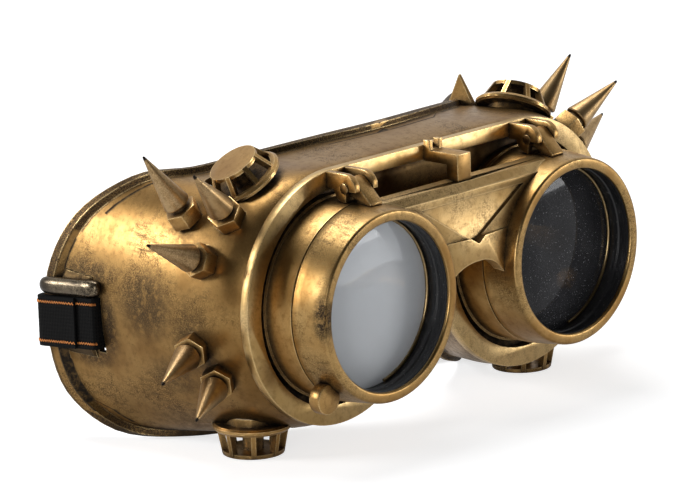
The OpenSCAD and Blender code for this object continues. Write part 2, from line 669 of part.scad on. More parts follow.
function strap_section(s) = let(
    r = strap_at(s),
    run = unit(place(strap_at(min(s + 0.05, strap_n - 1))) - place(strap_at(max(s - 0.05, 0)))),
    level = unit(cross(run, [0, 0, 1])),
    upright = unit(cross(level, run)),
    turn = 90 * min(1, max(0, r[3])),
    w = upright * cos(turn) + level * sin(turn),
    n = cross(run, w),
    a = w * strap_w / 2,
    b = n * strap_t / 2
) [place(r) - a + b, place(r) + a + b, place(r) + a - b, place(r) - a - b];
module head_strap()
    color(black) seat() open_sweep([for (i = [0:(strap_n - 1) * strap_steps]) strap_section(i / strap_steps)]);

mask_shell();
front_bezel();
socket_plate();
eye_tube(-1);  // eye_tube_left
eye_tube(1);  // eye_tube_right
hinge_ears(-1);  // hinge_ears_left
hinge_ears(1);  // hinge_ears_right
hinge_pin(-1);  // hinge_pin_left
hinge_pin(1);  // hinge_pin_right
catch_bracket();
vent_top(-1);  // vent_top_left
vent_top(1);  // vent_top_right
vent_bottom(-1);  // vent_bottom_left
vent_bottom(1);  // vent_bottom_right
spikes(-1);  // spikes_left
spikes(1);  // spikes_right
spike_nuts(-1);  // spike_nuts_left
spike_nuts(1);  // spike_nuts_right
spike_screws(-1);  // spike_screws_left
spike_screws(1);  // spike_screws_right
strap_lug(-1);  // strap_lug_left
strap_lug(1);  // strap_lug_right
strap_loop(-1);  // strap_loop_left
strap_loop(1);  // strap_loop_right
head_strap();
flip_bridge();
barrel(-1);  // barrel_left
barrel(1);  // barrel_right
hinge_arm(-1);  // hinge_arm_left
hinge_arm(1);  // hinge_arm_right
finger_tab();
lens(-1);  // lens_left
lens(1);  // lens_right
lens_sleeve(-1);  // lens_sleeve_left
lens_sleeve(1);  // lens_sleeve_right
retaining_ring(-1);  // retaining_ring_left
retaining_ring(1);  // retaining_ring_right
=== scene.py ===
import math

import bmesh
import bpy
from mathutils import Matrix, Vector, kdtree


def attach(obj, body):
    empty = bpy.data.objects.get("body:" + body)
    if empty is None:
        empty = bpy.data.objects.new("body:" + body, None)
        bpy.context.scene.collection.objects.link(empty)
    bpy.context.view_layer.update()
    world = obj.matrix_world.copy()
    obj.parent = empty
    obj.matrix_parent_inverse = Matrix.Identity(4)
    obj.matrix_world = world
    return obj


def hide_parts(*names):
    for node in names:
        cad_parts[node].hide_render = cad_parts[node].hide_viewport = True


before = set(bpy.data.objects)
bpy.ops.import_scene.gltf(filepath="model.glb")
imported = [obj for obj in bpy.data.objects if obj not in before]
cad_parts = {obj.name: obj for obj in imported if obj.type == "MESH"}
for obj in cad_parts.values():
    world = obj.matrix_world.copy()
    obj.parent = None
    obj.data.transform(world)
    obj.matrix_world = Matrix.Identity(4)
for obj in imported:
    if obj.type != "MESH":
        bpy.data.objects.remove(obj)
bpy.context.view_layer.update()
scene = bpy.context.scene
scene.view_settings.view_transform = "Standard"

# Camera: a long lens in front of the wearer's right temple, a little above the goggles.
# Its place, heading, drop and roll come from fitting the solids to the photograph.
camera_place = Vector((-1.06975, -1.00566, 0.40460))
camera_heading = 0.8149423
camera_drop = 0.2375768
camera_roll = -0.0320794
look = Vector((
    math.sin(camera_heading) * math.cos(camera_drop),
    math.cos(camera_heading) * math.cos(camera_drop),
    -math.sin(camera_drop),
))
level = Vector((math.cos(camera_heading), -math.sin(camera_heading), 0))
lift = level.cross(look)
right = level * math.cos(camera_roll) + lift * math.sin(camera_roll)
upward = lift * math.cos(camera_roll) - level * math.sin(camera_roll)
camera = bpy.data.objects.new("camera", bpy.data.cameras.new("camera"))
scene.collection.objects.link(camera)
camera.matrix_world = Matrix.Translation(camera_place) @ Matrix((right, upward, -look)).transposed().to_4x4()
camera.data.lens = 252.66
camera.data.sensor_width = 36
camera.data.clip_start = 0.1
camera.data.clip_end = 50
scene.camera = camera


# Studio: a white room behind the goggles, which darkens towards the side of the camera.
# The metal and the lenses mirror it. Its own light on the goggles is weak, and the lamps do the rest.
def node_tools(tree):
    """Short ways to add a node and to join sockets in one node tree."""

    def add(kind, **values):
        node = tree.nodes.new("ShaderNode" + kind)
        for key, value in values.items():
            if hasattr(node, key):
                setattr(node, key, value)
            else:
                node.inputs[key.replace("_", " ")].default_value = value
        return node

    def join(source, target):
        tree.links.new(source, target)

    def maths(operation, first, second=None):
        """A sum, product or other step on two values, kept from 0 to 1."""
        node = add("Math", operation=operation, use_clamp=True)
        for socket, value in zip(node.inputs, (first, second)):
            if isinstance(value, (int, float)):
                socket.default_value = value
            elif value is not None:
                join(value, socket)
        return node.outputs[0]

    def spread(value, low, high, start=0.0, end=1.0):
        """Turns low to high into start to end, smoothly at both ends."""
        node = add("MapRange", interpolation_type="SMOOTHSTEP")
        join(value, node.inputs["Value"])
        for key, number in (("From Min", low), ("From Max", high), ("To Min", start), ("To Max", end)):
            node.inputs[key].default_value = number
        return node.outputs["Result"]

    return add, join, maths, spread


room = bpy.data.worlds.new("studio_room")
room.use_nodes = True
scene.world = room
add, join, maths, spread = node_tools(room.node_tree)
room_output = room.node_tree.nodes["World Output"]
lit_room = room.node_tree.nodes["Background"]
lit_room.inputs["Color"].default_value = (1, 1, 1, 1)
lit_room.inputs["Strength"].default_value = 0.17
seen_room = add("Background")
rays = add("LightPath")
heading = add("VectorMath", operation="DOT_PRODUCT")
join(add("TexCoord").outputs["Generated"], heading.inputs[0])
heading.inputs[1].default_value = (look.x, look.y, 0.35)
white_behind = spread(heading.outputs["Value"], 0.05, 0.75, 0.02, 1.0)
join(maths("MAXIMUM", rays.outputs["Is Camera Ray"], white_behind), seen_room.inputs["Strength"])
mirrored = maths("MAXIMUM", rays.outputs["Is Glossy Ray"], rays.outputs["Is Transmission Ray"])
either_room = add("MixShader")
join(maths("MAXIMUM", rays.outputs["Is Camera Ray"], mirrored), either_room.inputs[0])
join(lit_room.outputs[0], either_room.inputs[1])
join(seen_room.outputs[0], either_room.inputs[2])
join(either_room.outputs[0], room_output.inputs["Surface"])

# Floor: a white table top that keeps the soft shadow of the goggles.
# Part of its white is its own, so that it stays white where the lamps fall off.
bpy.ops.object.select_all(action="DESELECT")
just_below_the_feet = -0.0002
bpy.ops.mesh.primitive_plane_add(size=10, location=(0, 0, just_below_the_feet))
table_top = bpy.context.object
table_top.name = "table_top"
white_top = bpy.data.materials.new("white_top")
white_top.use_nodes = True
add, join, maths = node_tools(white_top.node_tree)[:3]
matt = add("BsdfDiffuse", Color=(0.62, 0.62, 0.63, 1))
own_white = add("Emission", Color=(1, 1, 1, 1))
rays = add("LightPath")
seen = maths("MAXIMUM", rays.outputs["Is Camera Ray"], rays.outputs["Is Transmission Ray"])
seen = maths("MAXIMUM", seen, maths("MULTIPLY", rays.outputs["Is Glossy Ray"], 0.3))
join(maths("MULTIPLY", seen, 0.72), own_white.inputs["Strength"])
both = add("AddShader")
join(matt.outputs[0], both.inputs[0])
join(own_white.outputs[0], both.inputs[1])
join(both.outputs[0], white_top.node_tree.nodes["Material Output"].inputs["Surface"])
table_top.data.materials.append(white_top)

# Lamps: a softbox behind on the left, a softbox above, and a low weak card in front on each side.
# All are plain white and broad, so that the metal has soft bright bands.
middle_of_goggles = Vector((0, 0, 0.04))
for lamp_name, lamp_place, lamp_size, lamp_power in (
    ("left_softbox", (-1.02, 0.95, 0.48), 0.5, 13),
    ("left_card", (-1.30, -0.60, 0.22), 0.45, 5),
    ("top_softbox", (0.05, 0.45, 1.5), 0.8, 14),
    ("right_card", (1.02, -0.96, 0.14), 0.45, 5),
):
    lamp = bpy.data.objects.new(lamp_name, bpy.data.lights.new(lamp_name, "AREA"))
    scene.collection.objects.link(lamp)
    lamp.data.energy = lamp_power
    lamp.data.size = lamp_size
    lamp.location = lamp_place
    lamp.rotation_euler = (middle_of_goggles - Vector(lamp_place)).to_track_quat("-Z", "Y").to_euler()


# Mask shell: one moulded plastic wrap-round shell, painted antique gold and rubbed with black.
# The inside is bare black plastic. Bezel, vents, spikes and straps are fixed to it.
def worked_copy(node, name, body, softened=0.0, facets=24, flat=1.0):
    """A new piece from a node's solid: faces joined, edges softened and curves shaded round.

    softened is the width of the softened edge in metres. facets is the angle in degrees above which
    an edge stays sharp to the eye, and faces that are flat within flat degrees become one.
    """
    piece = bpy.data.objects.new(name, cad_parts[node].data.copy())
    scene.collection.objects.link(piece)
    piece.data.materials.clear()
    bpy.ops.object.select_all(action="DESELECT")
    bpy.context.view_layer.objects.active = piece
    piece.select_set(True)
    if piece.data.has_custom_normals:
        bpy.ops.mesh.customdata_custom_splitnormals_clear()
    bpy.ops.object.mode_set(mode="EDIT")
    bpy.ops.mesh.select_all(action="SELECT")
    bpy.ops.mesh.remove_doubles(threshold=0.00002)
    if flat:
        bpy.ops.mesh.dissolve_limited(angle_limit=math.radians(flat))
    bpy.ops.object.mode_set(mode="OBJECT")
    if softened:
        round_edge = piece.modifiers.new("round_edge", "BEVEL")
        round_edge.width = softened
        round_edge.segments = 2
        round_edge.limit_method = "ANGLE"
        round_edge.angle_limit = math.radians(32)
        round_edge.use_clamp_overlap = True
        bpy.ops.object.modifier_apply(modifier="round_edge")
    bpy.ops.object.shade_smooth_by_angle(angle=math.radians(facets))
    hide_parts(node)
    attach(piece, body)
    return piece


def aged_gold(
    name, pale=(0.60, 0.375, 0.140), warm=(0.34, 0.185, 0.056), rubbed=0.5, specks=0.5, wear_and_highlight=0.7,
    rough=0.34, scuffs_and_shadows=(), tips=False, rim=False, hollow_reach=0.006, washed=0.55
):
    """Gold paint with cloudy tone, black rubbed into hollows and grain, and edges painted bright as wear and
    painted highlight.

    rubbed is how much black stays in the hollows, specks how much on open faces, and washed how brown
    it stains the gold round them. The edge setting is how bright the edges are painted, as wear and as
    painted highlight. The list of marks holds larger black marks, real scuff marks and painted shadows, each
    with its centre, its reach along the three axes and its strength. tips blackens the points of the spikes,
    and rim paints black specks with painted shade on the lip of the shell, and painted shade in the groove
    beside it.
    """
    black_paint = (0.016, 0.011, 0.007)
    # Open edges are painted in this bright gold, as wear and as painted highlight.
    wear_and_highlight_gold = (0.90, 0.66, 0.32)
    brown_share = (0.48, 0.43, 0.38)
    paint = bpy.data.materials.new(name)
    paint.use_nodes = True
    add, join, maths, spread = node_tools(paint.node_tree)
    shader = paint.node_tree.nodes["Principled BSDF"]
    place = add("TexCoord").outputs["Object"]

    def noise(scale, detail, roughness, stretch=None):
        texture = add("TexNoise", Scale=scale, Detail=detail, Roughness=roughness)
        if stretch:
            turned = add("Mapping", Scale=stretch)
            join(place, turned.inputs["Vector"])
            join(turned.outputs[0], texture.inputs["Vector"])
        else:
            join(place, texture.inputs["Vector"])
        return texture.outputs["Fac"]

    def blend(amount, first, second):
        mixed = add("Mix", data_type="RGBA")
        for socket, value in ((mixed.inputs[0], amount), (mixed.inputs[6], first), (mixed.inputs[7], second)):
            if isinstance(value, (int, float)):
                socket.default_value = value
            elif isinstance(value, tuple):
                socket.default_value = (*value, 1)
            else:
                join(value, socket)
        return mixed.outputs[2]

    clouds = noise(48, 4, 0.55)
    patches = noise(430, 6, 0.68)
    grain = noise(2700, 3, 0.62)
    scratches = noise(900, 4, 0.62, stretch=(1.0, 0.14, 1.0))

    # Hollows keep black paint. Open edges lose it and are painted bright, as wear and as painted highlight.
    shade = add("AmbientOcclusion", samples=6)
    shade.inputs["Distance"].default_value = hollow_reach
    hollow = maths("SUBTRACT", 1.0, shade.outputs["AO"])
    rounded = add("Bevel", samples=4)
    rounded.inputs["Radius"].default_value = 0.0007
    turn = add("VectorMath", operation="DOT_PRODUCT")
    join(rounded.outputs["Normal"], turn.inputs[0])
    join(add("NewGeometry").outputs["Normal"], turn.inputs[1])
    edge = spread(maths("SUBTRACT", 1.0, turn.outputs["Value"]), 0.01, 0.09)
    open_edge = maths("MULTIPLY", edge, spread(hollow, 0.5, 0.3))
    bright = maths("MULTIPLY", maths("MULTIPLY", open_edge, spread(patches, 0.34, 0.5)), wear_and_highlight)

    # Black: in the hollows, in clouds of freckles, in single dots, and in smears drawn out one way.
    black = maths("MULTIPLY", spread(hollow, 0.12, 0.62), spread(patches, 0.2, 0.6, 0.45, 1.0))
    black = maths("MULTIPLY", black, min(1.0, rubbed * 1.7))
    smudge = spread(clouds, 0.42, 0.66)
    freckles = maths("MULTIPLY", spread(grain, 0.46, 0.66), spread(patches, 0.42, 0.66))
    freckles = maths("MULTIPLY", freckles, smudge)
    black = maths("MAXIMUM", black, maths("MULTIPLY", freckles, min(1.0, specks * 1.3)))
    dots = maths("MULTIPLY", spread(grain, 0.64, 0.72), spread(patches, 0.35, 0.6))
    black = maths("MAXIMUM", black, maths("MULTIPLY", dots, min(1.0, specks * 1.2)))
    smears = maths("MULTIPLY", spread(scratches, 0.50, 0.72), smudge)
    black = maths("MAXIMUM", black, maths("MULTIPLY", smears, specks * 0.7))
    # The lip band: black specks with painted shade. The groove beside it: a line of painted shade.
    if rim:
        band = add("Attribute", attribute_name="rim").outputs["Fac"]
        lip_shade_and_specks = maths("MULTIPLY", spread(band, 0.55, 0.95), spread(grain, 0.32, 0.60, 0.45, 0.95))
        black = maths("MAXIMUM", black, maths("MULTIPLY", lip_shade_and_specks, maths("SUBTRACT", 1.0, bright)))
        foot = add("Attribute", attribute_name="groove").outputs["Fac"]
        groove = maths("MULTIPLY", spread(foot, 0.78, 0.98), spread(patches, 0.3, 0.55, 0.7, 1.0))
        black = maths("MAXIMUM", black, groove)
    # Larger black marks: real scuff marks, and painted shadows where a part shades the shell.
    for centre, reach, strength in scuffs_and_shadows:
        away = add("VectorMath", operation="SUBTRACT")
        join(place, away.inputs[0])
        away.inputs[1].default_value = centre
        scaled = add("VectorMath", operation="DIVIDE")
        join(away.outputs[0], scaled.inputs[0])
        scaled.inputs[1].default_value = reach
        far = add("VectorMath", operation="LENGTH")
        join(scaled.outputs[0], far.inputs[0])
        broken = maths("MULTIPLY", spread(patches, 0.28, 0.52), spread(grain, 0.3, 0.56, 0.4, 1.0))
        mark = maths("MULTIPLY", spread(far.outputs["Value"], 1.0, 0.3), broken)
        black = maths("MAXIMUM", black, maths("MULTIPLY", mark, strength))
    if tips:
        tip = add("Attribute", attribute_name="tip")
        black = maths("MAXIMUM", black, spread(tip.outputs["Fac"], 0.35, 0.9))

    # Gold tones from clouded to pale, stained brown in patches, then the bright edges of wear and painted
    # highlight, and the black over them.
    tone = blend(spread(clouds, 0.34, 0.66), warm, pale)
    brown = tuple(channel * share for channel, share in zip(warm, brown_share))
    tone = blend(maths("MULTIPLY", spread(patches, 0.44, 0.72), 0.45), tone, brown)
    tone = blend(maths("MULTIPLY", smudge, maths("MULTIPLY", spread(grain, 0.3, 0.6), washed)), tone, brown)
    tone = blend(bright, tone, wear_and_highlight_gold)
    tone = blend(black, tone, black_paint)
    join(tone, shader.inputs["Base Color"])
    join(maths("SUBTRACT", 1.0, maths("MULTIPLY", black, 0.2)), shader.inputs["Metallic"])
    sheen = maths("ADD", spread(patches, 0.3, 0.8, rough, rough + 0.09), maths("MULTIPLY", black, 0.25))
    join(maths("SUBTRACT", sheen, maths("MULTIPLY", bright, 0.1)), shader.inputs["Roughness"])

    # Relief: broad waves of the moulding, then the paint's patches and its grain.
    waves = add("Bump", Strength=0.12, Distance=0.0006)
    join(noise(95, 2, 0.4), waves.inputs["Height"])
    fine = add("Bump", Strength=0.16, Distance=0.00010)
    join(patches, fine.inputs["Height"])
    join(waves.outputs["Normal"], fine.inputs["Normal"])
    finest = add("Bump", Strength=0.12, Distance=0.00004)
    join(grain, finest.inputs["Height"])
    join(fine.outputs["Normal"], finest.inputs["Normal"])
    join(finest.outputs["Normal"], shader.inputs["Normal"])
    return paint


def black_plastic(name, colour=(0.012, 0.012, 0.013), rough=0.42, dust=0.3):
    """Satin black moulded plastic with a little pale dust."""
    plastic = bpy.data.materials.new(name)
    plastic.use_nodes = True
    add, join, maths, spread = node_tools(plastic.node_tree)
    shader = plastic.node_tree.nodes["Principled BSDF"]
    place = add("TexCoord").outputs["Object"]
    cloud = add("TexNoise", Scale=260, Detail=5, Roughness=0.6)
    join(place, cloud.inputs["Vector"])
    motes = add("TexNoise", Scale=1700, Detail=2, Roughness=0.5)
    join(place, motes.inputs["Vector"])
    dusty = maths("MULTIPLY", spread(motes.outputs["Fac"], 0.67, 0.72), dust)
    dusty = maths("ADD", dusty, maths("MULTIPLY", spread(cloud.outputs["Fac"], 0.5, 0.8), dust * 0.12))
    tone = add("Mix", data_type="RGBA")
    join(dusty, tone.inputs[0])
    tone.inputs[6].default_value = (*colour, 1)
    tone.inputs[7].default_value = (0.32, 0.31, 0.29, 1)
    join(tone.outputs[2], shader.inputs["Base Color"])
    join(spread(cloud.outputs["Fac"], 0.3, 0.8, rough, rough + 0.2), shader.inputs["Roughness"])
    grain = add("Bump", Strength=0.08, Distance=0.00006)
    join(cloud.outputs["Fac"], grain.inputs["Height"])
    join(grain.outputs["Normal"], shader.inputs["Normal"])
    return plastic


eye_x = 0.0422
lens_height = 0.0468
shell = worked_copy("mask_shell", "mask_moulding", "mask", facets=34, flat=0)
shell.data.materials.append(aged_gold(
    "shell_paint", pale=(0.45, 0.275, 0.098), warm=(0.235, 0.128, 0.040),
    rubbed=0.9, specks=0.85, rough=0.31, rim=True, washed=0.85,
    scuffs_and_shadows=(
        # The second and third marks are painted shadow of the temple loop, along its front edge and under it.
        ((-0.0845, 0.034, 0.053), (0.010, 0.020, 0.007), 0.8),
        ((-0.0850, 0.025, 0.037), (0.008, 0.006, 0.016), 0.95),
        ((-0.0840, 0.034, 0.027), (0.010, 0.014, 0.006), 0.85),
        ((-0.0820, 0.008, 0.047), (0.014, 0.016, 0.015), 0.8),
        ((-0.0770, -0.010, 0.040), (0.013, 0.013, 0.020), 0.85),
        ((-0.0700, -0.006, 0.066), (0.016, 0.014, 0.012), 0.75),
        ((-0.0740, 0.000, 0.026), (0.016, 0.016, 0.010), 0.7),
        ((-0.0600, 0.006, 0.010), (0.022, 0.022, 0.008), 0.6),
        ((-0.0700, 0.036, 0.074), (0.016, 0.016, 0.010), 0.55),
    ),
))
shell.data.materials.append(black_plastic("bare_inside", colour=(0.018, 0.016, 0.014), rough=0.5, dust=0.2))

# The rolled lip and the groove beside it are found by their distance from the rear edge. That edge is a line
# through the rearmost corner in each narrow sector round the middle. The horn on the lip keeps its gold.
# The lip is painted with black specks and painted shade, and the groove with a line of painted shade.
lip_band = 0.0047
groove_end = 0.0068
horn_point = Vector((0.0546, 0.0049, 0.0933))
horn_reach = 0.0095
sectors = 120
steps_between = 20
rear_edge = {}
for corner in shell.data.vertices:
    bearing = math.degrees(math.atan2(corner.co.z - lens_height, corner.co.x))
    sector = round(bearing / (360 / sectors)) % sectors
    if sector not in rear_edge or corner.co.y > rear_edge[sector].y:
        rear_edge[sector] = corner.co.copy()
edge_points = [rear_edge[sector] for sector in sorted(rear_edge)]
edge_tree = kdtree.KDTree(len(edge_points) * steps_between)
for number, point in enumerate(edge_points):
    following = edge_points[(number + 1) % len(edge_points)]
    for step in range(steps_between):
        edge_tree.insert(point.lerp(following, step / steps_between), number * steps_between + step)
edge_tree.balance()
rim_mark = shell.data.attributes.new("rim", "FLOAT", "POINT")
groove_shade_mark = shell.data.attributes.new("groove", "FLOAT", "POINT")
for corner in shell.data.vertices:
    from_edge = edge_tree.find(corner.co)[2]
    on_horn = (corner.co - horn_point).length < horn_reach
    rim_mark.data[corner.index].value = float(from_edge < lip_band and not on_horn)
    groove_shade_mark.data[corner.index].value = float(lip_band <= from_edge < groove_end and not on_horn)
for face in shell.data.polygons:
    nearest = Vector((max(-eye_x, min(eye_x, face.center.x)), face.center.y, lens_height))
    inward = face.normal.dot((face.center - nearest).normalized()) < -0.3
    if inward and edge_tree.find(face.center)[2] > lip_band:
        face.material_index = 1

# Front bezel: the flat figure-of-eight ring plate, with the recess round both eye tubes.
# The dark socket plate closes the bottom of that recess.
bezel = worked_copy("front_bezel", "bezel_plate", "mask", softened=0.0004)
bezel.data.materials.append(aged_gold(
    "bezel_paint", pale=(0.78, 0.56, 0.27), warm=(0.52, 0.34, 0.13),
    rubbed=0.85, specks=0.35, wear_and_highlight=0.9, rough=0.33
))
socket = worked_copy("socket_plate", "recess_floor", "mask", softened=0.0002)
socket.data.materials.append(aged_gold(
    "recess_paint", pale=(0.26, 0.16, 0.06), warm=(0.12, 0.07, 0.03),
    rubbed=0.9, specks=0.7, wear_and_highlight=0.4, rough=0.42
))

# Eye tubes: short tubes fixed in the recess, gold outside and bare black inside.
# The flip-up barrels close down onto them.
tube_paint = aged_gold("tube_paint", rubbed=0.7, specks=0.3, rough=0.33)
for side in ("left", "right"):
    tube = worked_copy(
        "eye_tube_" + side, "fixed_tube_" + side, "mask", softened=0.0003, flat=0
    )
    tube.data.materials.append(tube_paint)
    tube.data.materials.append(black_plastic("tube_lining_" + side, dust=0.25))
    middle = Vector((eye_x if side == "right" else -eye_x, 0, lens_height))
    for face in tube.data.polygons:
        outward = face.center - middle
        outward.y = 0
        if face.normal.dot(outward.normalized()) < -0.3:
            face.material_index = 1

# Hinges: two pairs of open hooks moulded on the bezel's recess wall, each pair holding one pin.
# The lens frame turns on the two pins.
hook_paint = aged_gold("hook_paint", rubbed=0.7, specks=0.4, wear_and_highlight=0.9, rough=0.32)
pin_paint = aged_gold(
    "pin_paint", pale=(0.30, 0.20, 0.09), warm=(0.18, 0.11, 0.05), rubbed=0.6, specks=0.5, wear_and_highlight=0.5, rough=0.3
)
for side in ("left", "right"):
    hooks = worked_copy("hinge_ears_" + side, "hinge_hooks_" + side, "mask", softened=0.0003)
    hooks.data.materials.append(hook_paint)
    pin = worked_copy("hinge_pin_" + side, "hinge_axle_" + side, "mask", softened=0.0002)
    pin.data.materials.append(pin_paint)

# Catch: a square hook that comes forward from the top band, with two prongs behind it.
# Its tooth bears lightly on the flip bar and holds it down.
catch = worked_copy("catch_bracket", "catch_hook", "mask", softened=0.00035)
catch.data.materials.append(aged_gold("catch_paint", rubbed=0.5, specks=0.7, wear_and_highlight=1.0, rough=0.32))

# Vents: four ribbed cages pressed into round seats, two on the brow and two under the cheeks.
# Black paint stays between the ribs, and the post inside is gold.
vent_paint = aged_gold("vent_paint", rubbed=1.0, specks=0.45, wear_and_highlight=0.9, rough=0.32, hollow_reach=0.007)
for place_name in ("top_left", "top_right", "bottom_left", "bottom_right"):
    vent = worked_copy(
        "vent_" + place_name, "vent_cage_" + place_name, "mask", softened=0.00025
    )
    vent.data.materials.append(vent_paint)


# Spikes: turned cones on hexagon nuts, held by a screw from inside, five on each temple.
# Their points are blunt and rubbed black.
def mark_tips(piece, reach):
    """Cuts two rings round each cone near its point and marks how near each corner is to the point.

    The corners are taken in their order in the mesh, so that every run cuts the cones alike.
    """
    solid = bmesh.new()
    solid.from_mesh(piece.data)
    met = set()
    points = []
    for first in solid.verts:
        if first in met:
            continue
        met.add(first)
        cone = [first]
        for corner in cone:
            for link in corner.link_edges:
                other = link.other_vert(corner)
                if other not in met:
                    met.add(other)
                    cone.append(other)
        middle = sum((corner.co for corner in cone), Vector()) / len(cone)
        apex = max(cone, key=lambda corner: (corner.co - middle).length).co.copy()
        points.append((apex, (apex - middle).normalized()))
    for apex, along in points:
        for share in (1.0, 2.2):
            faces = [face for face in solid.faces if (face.calc_center_median() - apex).length < 0.03]
            edges = dict.fromkeys(edge for face in faces for edge in face.edges)
            corners = dict.fromkeys(corner for face in faces for corner in face.verts)
            bmesh.ops.bisect_plane(
                solid, geom=[*faces, *edges, *corners], plane_co=apex - along * reach * share, plane_no=along
            )
    near_tip = solid.verts.layers.float.new("tip")
    for corner in solid.verts:
        away = min((corner.co - apex).length for apex, along in points)
        corner[near_tip] = max(0.0, min(1.0, 1.9 - away / reach))
    solid.to_mesh(piece.data)
    solid.free()


spike_paint = aged_gold(
    "spike_paint", pale=(0.56, 0.39, 0.20), warm=(0.42, 0.27, 0.12),
    rubbed=0.5, specks=0.25, wear_and_highlight=0.5, rough=0.36, tips=True
)
nut_paint = aged_gold("nut_paint", rubbed=0.9, specks=0.5, wear_and_highlight=1.0, rough=0.32)
screw_paint = aged_gold(
    "screw_paint", pale=(0.30, 0.20, 0.09), warm=(0.18, 0.11, 0.05), rubbed=0.7, specks=0.5, wear_and_highlight=0.5
)
black_reach = 0.0011
for side in ("left", "right"):
    cones = worked_copy("spikes_" + side, "spike_cones_" + side, "mask", softened=0.0002)
    mark_tips(cones, black_reach)
    cones.data.materials.append(spike_paint)
    nuts = worked_copy(
        "spike_nuts_" + side, "spike_hexagons_" + side, "mask", softened=0.0003
    )
    nuts.data.materials.append(nut_paint)
    screws = worked_copy("spike_screws_" + side, "spike_bolts_" + side, "mask", softened=0.0002)
    screws.data.materials.append(screw_paint)

# Strap pads: a smooth raised bar over the top edge of each temple loop, on a rectangular lug.
# Both are nearly black, and the bar's open edges are painted bright as wear and painted highlight.
loop_height = 0.0375
loop_drop = 0.00009
loop_level_y = 34
pad_rise = 0.0109
pad_half_thick = 0.0019
pad_half_tall = 0.0027
pad_route = (
    (84.3, 26.6), (84.75, 30), (84.7, 34), (84.6, 38), (84.5, 42), (84.5, 46), (84.3, 49.6), (83.5, 52.2),
)


def on_temple(route, sign, height):
    """Rows in metres on one temple, from a route's millimetres across and back, falling a little backwards."""
    return [(sign * x / 1000, y / 1000, height + loop_drop * (loop_level_y - y)) for x, y in route]


def between(rows, share):
    """A smooth point on a run of rows of numbers, share from 0 at the first to 1 at the last."""
    last = len(rows) - 1
    step = min(int(share * last), last - 1)
    part = share * last - step
    a, b, c, d = (rows[max(0, min(last, step + k))] for k in (-1, 0, 1, 2))
    return [
        0.5 * (
            2 * q + (r - p) * part + (2 * p - 5 * q + 4 * r - s) * part ** 2
            + (3 * q - p - 3 * r + s) * part ** 3
        )
        for p, q, r, s in zip(a, b, c, d)
    ]


def rounded_bar(name, rows, half_thick, half_tall):
    """A bar with round ends that follows rows: a ball whose rings are laid along them."""
    bpy.ops.object.select_all(action="DESELECT")
    bpy.ops.mesh.primitive_uv_sphere_add(segments=28, ring_count=40, radius=1)
    bar = bpy.context.object
    bar.name = name
    for corner in bar.data.vertices:
        along = 2 * math.asin(max(-1.0, min(1.0, corner.co.z))) / math.pi
        share = (along + 1) / 2
        here = Vector(between(rows, share))
        ahead = Vector(between(rows, min(1, share + 0.02))) - Vector(between(rows, max(0, share - 0.02)))
        out = ahead.normalized().cross(Vector((0, 0, 1))).normalized()
        girth = math.hypot(corner.co.x, corner.co.y)
        full = (1 - abs(along) ** 7) ** (1 / 2.2)
        across = Vector((corner.co.x, corner.co.y, 0)).normalized() if girth > 1e-5 else Vector()
        rise = Vector((0, 0, 1)) * across.y * half_tall * full
        corner.co = here + out * across.x * half_thick * full + rise
    bpy.ops.object.mode_set(mode="EDIT")
    bpy.ops.mesh.select_all(action="SELECT")
    bpy.ops.mesh.normals_make_consistent(inside=False)
    bpy.ops.object.mode_set(mode="OBJECT")
    bpy.ops.object.shade_smooth()
    return bar


pad_paint = aged_gold(
    "pad_paint", pale=(0.34, 0.27, 0.18), warm=(0.04, 0.032, 0.024),
    rubbed=0.8, specks=1.2, wear_and_highlight=0.9, rough=0.24, washed=0.9
)
plate_paint = aged_gold(
    "plate_paint", pale=(0.16, 0.10, 0.04), warm=(0.06, 0.038, 0.018),
    rubbed=1.0, specks=1.0, rough=0.45, washed=0.9
)
for side, sign in (("left", -1), ("right", 1)):
    pad_rows = on_temple(pad_route, sign, loop_height + pad_rise)
    pad = rounded_bar("strap_pad_" + side, pad_rows, pad_half_thick, pad_half_tall)
    pad.data.materials.append(pad_paint)
    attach(pad, "mask")
    plate = worked_copy(
        "strap_lug_" + side, "strap_plate_" + side, "mask", softened=0.0002, facets=50
    )
    plate.data.materials.append(plate_paint)

# Temple loops: black elastic webbing sewn round the back of each temple, through the slot in the shell.
# A folded end lies on each loop, with a row of orange zigzag stitching along both edges.
strap_width = 0.0158
strap_thickness = 0.0009
measure_steps = 400
loop_route = (
    (78.22, 36.7), (78.34, 33.7), (78.61, 30.2), (79.41, 28.9), (80.51, 28.5), (83.61, 28.4), (84.81, 28.8),
    (85.21, 30.0), (84.96, 35.7), (84.75, 39.7), (84.75, 43.7), (84.78, 46.7), (84.75, 50.6), (84.3, 51.7),
    (83.4, 52.25), (81.18, 52.2), (77.78, 51.7), (77.28, 50.8), (77.76, 45.7), (78.02, 41.7),
)
fold_route = (
    (86.05, 35.9), (85.78, 39.6), (85.72, 42.4), (85.74, 45.4), (85.76, 48.2), (85.72, 50.9),
    (85.15, 52.35), (83.9, 53.1), (82.0, 53.15),
)
thread_radius = 0.00019
thread_proud = 0.00008
stitch_row = 0.0061
stitch_sway = 0.0003
stitch_points = 44


